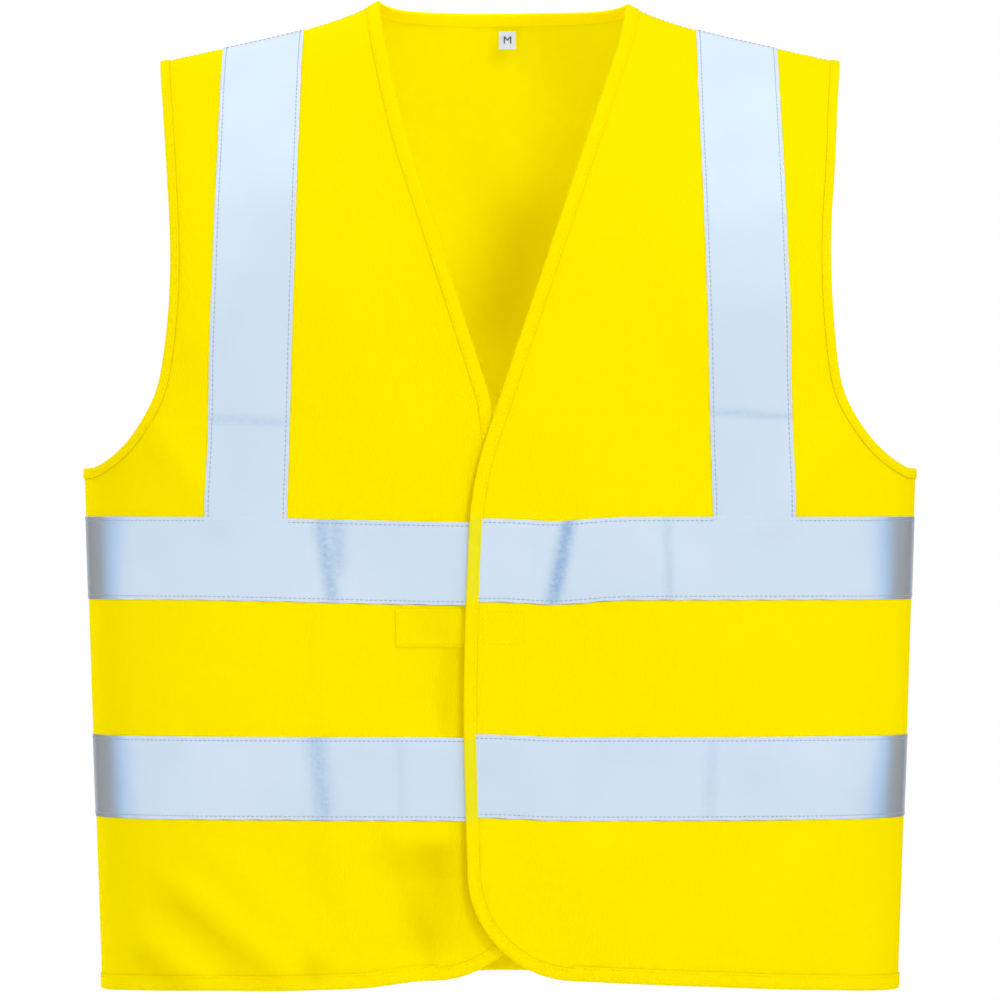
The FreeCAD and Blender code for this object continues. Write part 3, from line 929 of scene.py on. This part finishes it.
BRACE_TOP, BRACE_FOOT = 144.0, 152.5  # distances of its ends from the middle
BRACE_END = UPPER_BAND + TAPE_WIDE / 2 - 9.0
BRACE_RISE, BAND_OVERLAP = 0.38, 10.0
BAND_START = 3.0  # distance of a band's end from the front edge
# the cloth that joins a front to the back: distances past the side seam, heights, and how far it bends
JOIN_PLACES = (3.4, 1.4, 0.6, 0.0, -0.6, -1.4, -3.4)
JOIN_TOP, JOIN_LOW, JOIN_BEND = 0.08, -0.24, 0.0012
# cross-section of a seam allowance, as (distance into the cloth, height)
ALLOWANCE_SHAPE = (
    (0.6, -0.35), (0.6, -0.9), (4.0, -0.95), (11.5, -0.85), (12.0, -0.6), (11.5, -0.35), (6.0, -0.3),
)


def brace_line(side):
    top = float(ridge_height(BRACE_TOP))
    zs = np.linspace(top, BRACE_END, 150)
    xs = np.interp(-zs, (-top, -BRACE_END), (BRACE_TOP, BRACE_FOOT))
    return flat(side * xs, zs)


def over_brace(middle, place):
    """The upper band rises where it covers the foot of a brace."""
    foot = float(flat(np.array(BRACE_FOOT), np.array(BRACE_END))[0])
    off = np.abs(np.abs(middle[:, 0]) - foot) - TAPE_WIDE / 2
    return BRACE_RISE * (1.0 - smooth(off, -0.5, 4.0)) * (place > TAPE_WIDE / 2 - BAND_OVERLAP)


def sew_tape(part, middle):
    """A row of stitches inside each edge of a tape."""
    middle = even(middle, STEP)
    for place in (-TAPE_WIDE / 2 + TAPE_STITCH, TAPE_WIDE / 2 - TAPE_STITCH):
        tape_threads[part].sew(tape_row(middle, place), part, TAPE_OUT + STITCH_LIFT)


def edge_strip(name, node, part, line, side_in, width, material, pucker, slot="fabric"):
    """A turned edge of a front or of the back."""
    piece = along_edge(name, line, side_in, wrap_profile(width), part, material, pucker)
    attach(piece, part, slot, node)
    return piece


def sew_edge(part, line, side_in, width):
    """The row of stitches that holds a turned edge."""
    line = even(line, STEP)
    line = line + beside(line, side_in) * (width - EDGE_STITCH)
    threads[part].sew(line, part, TRIM_OUT - STITCH_LIFT)


def front_band(side, label, height):
    """The piece of a horizontal band on one front."""
    outline = front_edge(side)
    start_x = outline[np.argmin(np.abs(outline[:, 1] - height)), 0] + BAND_START
    sag = PUCKER_SAG if (side, label) == (LEFT, "upper") else 0.0
    line = band_line(side, start_x, height, *LAP_RISE[side, label], sag)
    piece = tape(f"{WORD[side]}_front_{label}_tape", line, side, side * (label == "upper"))
    attach(piece, side, "tape", f"{WORD[side]}_front_{label}_band")
    sew_tape(side, line)


def brace(side, part):
    """The tape from the shoulder line down to the upper band, in front or behind."""
    name = f"{WORD[side]}_{'back' if part == BACK else 'front'}_brace"
    line = brace_line(side)
    piece = tape(name, line, part)
    attach(piece, part, "tape", f"{name}_tape")
    sew_tape(part, line)


def sew_shoulder(side):
    """Topstitching beside the shoulder seam, in grey thread where it crosses the brace."""
    line = as_flat(ridge_run(NECK[side] + EDGE_FOLD, TIP_HALF - ARM_FOLD), side)
    line[:, 1] += SHOULDER_STITCH
    brace_top = np.abs(brace_line(side)[0, 0])
    on_tape = np.abs(np.abs(line[:, 0]) - brace_top) < TAPE_WIDE / 2 + 0.5
    ends = np.nonzero(np.diff(on_tape))[0] + 1
    for run, covered in zip(np.split(line, ends), np.split(on_tape, ends)):
        if covered[0]:
            tape_threads[side].sew(run, side, TAPE_OUT + STITCH_LIFT)
        else:
            threads[side].sew(run, side, CLOTH_OUT + 0.05)


def seam_join(side, seam):
    """The cloth of the side seam, between the back and a front."""
    line = even(seam, STEP)[1:-2]
    section = [(place, JOIN_TOP) for place in JOIN_PLACES]
    section += [(place, JOIN_LOW) for place in reversed(JOIN_PLACES)]
    rows = []
    for place, height in section:
        spots = line - np.array([side * abs(place), 0.0])
        rows.append((place, spots, side if place < 0 else BACK, height))
    join = strip(f"{WORD[side]}_side_seam_join", rows, running_length(line), fabric)
    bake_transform(join)
    return join


def make_front(side):
    word = WORD[side]
    hem_start = front_edge(side)[-1, 0]
    hem = as_flat(hem_line(hem_start, HEM_MIDDLE, HEM_SLOPE, HEM_SAG[side]), side)
    seam = as_flat(seam_line(), side)
    ridge = as_flat(ridge_run(TIP_HALF, NECK[side]), side)
    loop = closed_loop(edge[side], hem, seam[::-1], arm[side][::-1], ridge)
    body = panel(f"{word}_front", loop, side, fabric)
    attach(body, side, "fabric", f"{word}_front_panel")

    trims = [
        edge_strip(
            f"{word}_front_edge", f"{word}_front_edge_binding", side, edge[side], side,
            EDGE_FOLD, binding, 0.05, "binding",
        ),
        edge_strip(
            f"{word}_front_armhole", f"{word}_front_armhole_hem", side, arm[side], -side,
            ARM_FOLD, fabric, 0.08,
        ),
        edge_strip(
            f"{word}_front_bottom_hem", f"{word}_front_hem", side, hem, side, HEM_FOLD, fabric, 0.10,
        ),
    ]
    seam_join(side, seam)
    front_band(side, "upper", UPPER_BAND)
    front_band(side, "lower", LOWER_BAND)
    brace(side, side)
    brace(side, BACK)
    sew_shoulder(side)
    sew_edge(side, edge[side], side, EDGE_FOLD)
    sew_edge(side, arm[side], -side, ARM_FOLD)
    sew_edge(side, hem, side, HEM_FOLD)


for side in (RIGHT, LEFT):
    make_front(side)


def neck_line():
    """Back neckline from the wearer's right neck point to the left one."""
    xs = np.linspace(-NECK[RIGHT], NECK[LEFT], 161)
    end = np.where(xs > 0, NECK[LEFT], NECK[RIGHT])
    zs = BACK_NECK + (ridge_height(end) - BACK_NECK) * np.abs(xs / end) ** 9
    return flat(xs, zs)


def make_back():
    slope = (BACK_HEM_MIDDLE - HEM_AT_SEAM) / HEM_HALF
    half_hem = {side: as_flat(hem_line(0.0, BACK_HEM_MIDDLE, slope), side) for side in (LEFT, RIGHT)}
    seam = {side: as_flat(seam_line(), side) for side in (LEFT, RIGHT)}
    ridge = {side: as_flat(ridge_run(NECK[side], TIP_HALF), side) for side in (LEFT, RIGHT)}
    loop = closed_loop(
        neck_line(),
        ridge[LEFT],
        arm[LEFT],
        seam[LEFT],
        half_hem[LEFT][::-1],
        half_hem[RIGHT],
        seam[RIGHT][::-1],
        arm[RIGHT][::-1],
        ridge[RIGHT][::-1],
    )
    body = panel("back", loop, BACK, back_fabric_painted_light)
    attach(body, BACK, "fabric", "back_panel")
    hem = np.concatenate([half_hem[RIGHT][::-1], half_hem[LEFT][1:]])
    trims = [
        edge_strip(
            "back_neck", "back_neck_hem", BACK, neck_line(), -1, NECK_FOLD, neck_fabric_painted_light, 0.1, "binding",
        ),
        edge_strip("back_bottom_hem", "back_hem", BACK, hem, 1, HEM_FOLD, back_fabric_painted_light, 0.16),
    ]
    sew_edge(BACK, neck_line(), -1, NECK_FOLD)
    sew_edge(BACK, hem, 1, HEM_FOLD)
    for side in (LEFT, RIGHT):
        word = WORD[side]
        trims.append(edge_strip(
            f"{word}_back_armhole", f"{word}_back_armhole_hem", BACK, arm[side], -side,
            ARM_FOLD, back_fabric_painted_light, 0.08,
        ))
        sew_edge(BACK, arm[side], -side, ARM_FOLD)
        for name, run in (("shoulder_seam", ridge[side]), ("side_seam", seam[side])):
            line = even(run, STEP)[3:-3]
            allowance = along_edge(
                f"{word}_{name}_allowance", line, -side, ALLOWANCE_SHAPE, BACK, back_fabric_painted_light,
            )
            attach(allowance, BACK, "fabric", f"{word}_{name}")
            trims.append(allowance)
    for label, height in (("upper", UPPER_BAND), ("lower", LOWER_BAND)):
        right, left = (band_line(side, 0.0, height) for side in (RIGHT, LEFT))
        line = np.concatenate([right[::-1], left[1:]])
        piece = tape(f"back_{label}_tape", line, BACK, int(label == "upper"))
        attach(piece, BACK, "tape", f"back_{label}_band")
        sew_tape(BACK, line)
    return body


back_body = make_back()


def patch(name, node, box, side, low, high, material):
    """A small rectangle of hook or loop cloth between two heights, sewn round its edge."""
    (x1, x2), (z1, z2) = box
    count = 24
    zs = np.linspace(z1, z2, count)
    middle = flat(np.full(count, (x1 + x2) / 2), zs)
    half = (x2 - x1) / 2
    places = [-half, -half + 0.4, *np.linspace(-half + 2.0, half - 2.0, 16), half - 0.4, half]
    rows = []
    for place in places:
        height = np.full(count, high - 0.35 * (abs(place) > half - 0.1))
        height[[0, -1]] -= 0.25
        rows.append((place, middle + np.array([place, 0.0]), side, height))
    for place in reversed(places):
        rows.append((place, middle + np.array([place, 0.0]), side, low))
    piece = strip(name, rows, zs, material, turned=True)
    attach(piece, side, "closure", node)
    x1, x2, z1, z2 = x1 + PATCH_STITCH, x2 - PATCH_STITCH, z1 + PATCH_STITCH, z2 - PATCH_STITCH
    corners = [(x1, z1), (x2, z1), (x2, z2), (x1, z2)]
    for (xa, za), (xb, zb) in zip(corners, corners[1:] + corners[:1]):
        line = flat(np.linspace(xa, xb, 30), np.linspace(za, zb, 30))
        threads[side].sew(line, side, max(high, CLOTH_OUT) + STITCH_LIFT)


patch("loop_patch_pile", "loop_patch", LOOP, RIGHT, 0.65, 1.45, loop_cloth)
patch("hook_patch_field", "hook_patch", HOOK, LEFT, 0.10, -0.75, hook_cloth)

for part, word in zip(PARTS, ("left_front", "right_front", "back")):
    attach(threads[part].piece(f"{word}_stitching", yellow_thread), part, "fabric")
    attach(tape_threads[part].piece(f"{word}_tape_stitching", grey_thread), part, "tape")

# ---- labels

LABEL_LAYERS, LABEL_CURL = (0.18, -0.12), 0.5
LETTER_HIGH, LETTER_THICK, CAPITAL_SHARE = 5.2, 0.03, 0.72


def sewn_label(name, corner, along, down, wide, high, turn):
    """A thin label from its upper corner, with the directions of its width and height.

    It curls towards the side that turn picks.
    """
    normal = turn * np.cross(along, down)
    columns, rows = 14, 16
    points, uv = [], []
    for layer_height in LABEL_LAYERS:
        for j in range(rows + 1):
            for i in range(columns + 1):
                u, v = i / columns, j / rows
                lift = LABEL_CURL * (v * v + 0.25 * math.sin(math.pi * u) * v) + layer_height
                points.append(corner + along * wide * u + down * high * v + normal * lift)
                uv.append((wide * u, high * v))
    faces = []
    layer = (columns + 1) * (rows + 1)
    for j in range(rows):
        for i in range(columns):
            a = j * (columns + 1) + i
            b, c, d = a + 1, a + columns + 2, a + columns + 1
            faces.append((a, b, c, d))
            faces.append(tuple(layer + k for k in (d, c, b, a)))
    rim = [(b, a, a + layer, b + layer) for a, b in boundary_edges(faces[::2])]
    piece = make_object(f"{name}_cloth", np.array(points), faces + rim, label_cloth, np.array(uv))
    fix_outside(piece)
    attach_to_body(piece, name)
    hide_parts(name)


def size_letter(centre, along, down):
    """A generic size letter printed on the size label."""
    curve = bpy.data.curves.new("size_letter", "FONT")
    curve.body = "M"
    curve.align_x, curve.align_y = "CENTER", "CENTER"
    curve.size = LETTER_HIGH / CAPITAL_SHARE * MM
    curve.extrude = LETTER_THICK * MM
    text = bpy.data.objects.new("letter", curve)
    mesh = bpy.data.meshes.new_from_object(text)
    bpy.data.objects.remove(text)
    piece = bpy.data.objects.new("size_letter", mesh)
    bpy.context.collection.objects.link(piece)
    across, up = Vector(along), -Vector(down)
    turn = Matrix((across, up, across.cross(up))).transposed().to_4x4()
    mesh.transform(Matrix.Translation(Vector(centre) * MM) @ turn)
    mesh.materials.clear()
    mesh.materials.append(ink)
    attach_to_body(piece, "size_label")


def make_labels():
    (x1, x2), (y1, y2), (z1, z2) = (span("size_label", axis) for axis in range(3))
    along = np.array([1.0, 0.0, 0.0])
    down = np.array([0.0, y2 - y1 - 0.5, z1 - z2])
    high = np.linalg.norm(down)
    down /= high
    corner = np.array([x1, y1, z2])
    sewn_label("size_label", corner, along, down, x2 - x1, high, -1)
    normal = -np.cross(along, down)
    size_letter(corner + along * (x2 - x1) / 2 + down * high * 0.5 + normal * 0.5, along, down)

    (x1, x2), (y1, y2), (z1, z2) = (span("care_label", axis) for axis in range(3))
    along = np.array([x1 - x2 + 0.5, y2 - y1, 0.0])
    wide = np.linalg.norm(along)
    along /= wide
    corner = np.array([x2 - 0.3, y1 + 0.2, z2])
    sewn_label("care_label", corner, along, np.array([0.0, 0.0, -1.0]), wide, z2 - z1, 1)


make_labels()

# ---- floor, light and camera

GLOSS, KEY = 0.93, 30.0  # radiance of the light tent and of the main lamp
LAMP_SIZE = 1.1


def area_light(name, spot, aim, wide, high, radiance, colour, diffuse):
    """A soft box that either lights the cloth or only shows as a reflection in the tape."""
    light = bpy.data.lights.new(name, "AREA")
    light.shape = "RECTANGLE"
    light.size, light.size_y = wide, high
    light.energy = radiance * math.pi * wide * high
    light.color = colour
    lamp = bpy.data.objects.new(name, light)
    lamp.location = spot
    lamp.rotation_euler = (Vector(aim) - Vector(spot)).to_track_quat("-Z", "Y").to_euler()
    lamp.visible_camera = False
    lamp.visible_diffuse = lamp.visible_transmission = diffuse
    lamp.visible_glossy = not diffuse
    bpy.context.collection.objects.link(lamp)


def wall(name, spot, aim, wide, high, colour, share=1.0):
    area_light(name, spot, aim, wide, high, share * GLOSS, colour, False)


def studio():
    world = bpy.data.worlds.new("studio")
    world.use_nodes = True
    world.node_tree.nodes["Background"].inputs["Color"].default_value = (1.0, 1.0, 1.0, 1.0)
    world.node_tree.nodes["Background"].inputs["Strength"].default_value = 1.0
    bpy.context.scene.world = world
    world.cycles_visibility.glossy = False

    floor_mesh = bpy.data.meshes.new("floor")
    half, height = 7.0, -1.25
    corners = [(x * half, y * half, height) for x, y in ((-1, -1), (1, -1), (1, 1), (-1, 1))]
    floor_mesh.from_pydata(corners, [], [(0, 1, 2, 3)])
    floor = bpy.data.objects.new("floor", floor_mesh)
    bpy.context.collection.objects.link(floor)
    shader = Shader("pale_floor")
    shader.feed(shader.surface, Base_Color=(0.86, 0.86, 0.86), Roughness=0.9)
    floor_mesh.materials.append(shader.material)
    floor.visible_glossy = False

    white, grey = (1.0, 1.0, 1.0), (0.62, 0.62, 0.62)
    bluish, dusky = (0.52, 0.72, 1.0), (0.30, 0.25, 0.19)
    middle, reach, far, top = -0.3, 4.0, 5.4, 4.2
    # walls of a light tent that only the tape mirrors
    wall("front_wall", (0, -far, middle), (0, 0, middle), 2 * reach, 9.0, white)
    wall("ceiling", (0, 0, top), (0, 0, middle), 2 * reach, 2 * far, white, 1.2)
    wall("back_wall", (0, far, -1.9), (0, 0, -1.9), 6.0, 5.8, grey)
    wall("back_high", (0, far, 2.6), (0, 0, 2.6), 2 * reach, 3.2, white)
    for x in (-reach, reach):
        wall("side_wall", (x, -2.9, middle), (0, -2.9, middle), 5.0, 9.0, white)
        wall("edge_wall", (x, 0.2, middle), (0, 0.2, middle), 1.2, 9.0, bluish)
        wall("rear_wall", (x, 3.1, -1.3), (0, 3.1, -1.3), 4.6, 4.6, dusky)
        wall("rear_high", (x, 3.1, 2.6), (0, 3.1, 2.6), 4.6, 3.2, white)
    # the cloth is lit by the white room and by lamps that shape the folds
    for name, spot, share in (
        ("key", (1.9, -3.0, 2.9), 1.0),
        ("fill", (-3.0, -2.6, 2.4), 0.28),
        ("back_key", (-2.8, 2.8, 2.5), 1.0),
    ):
        area_light(name, spot, (0, 0, middle), LAMP_SIZE, LAMP_SIZE, share * KEY, white, True)


def camera():
    data = bpy.data.cameras.new("camera")
    data.sensor_width = 36.0
    data.lens = 295.0
    data.clip_end = 100.0
    obj = bpy.data.objects.new("camera", data)
    obj.location = (0.0, -5.0, -0.302)
    obj.rotation_euler = (math.radians(90.0), 0.0, 0.0)
    bpy.context.collection.objects.link(obj)
    bpy.context.scene.camera = obj


studio()
camera()
bpy.context.scene.view_settings.view_transform = "Standard"
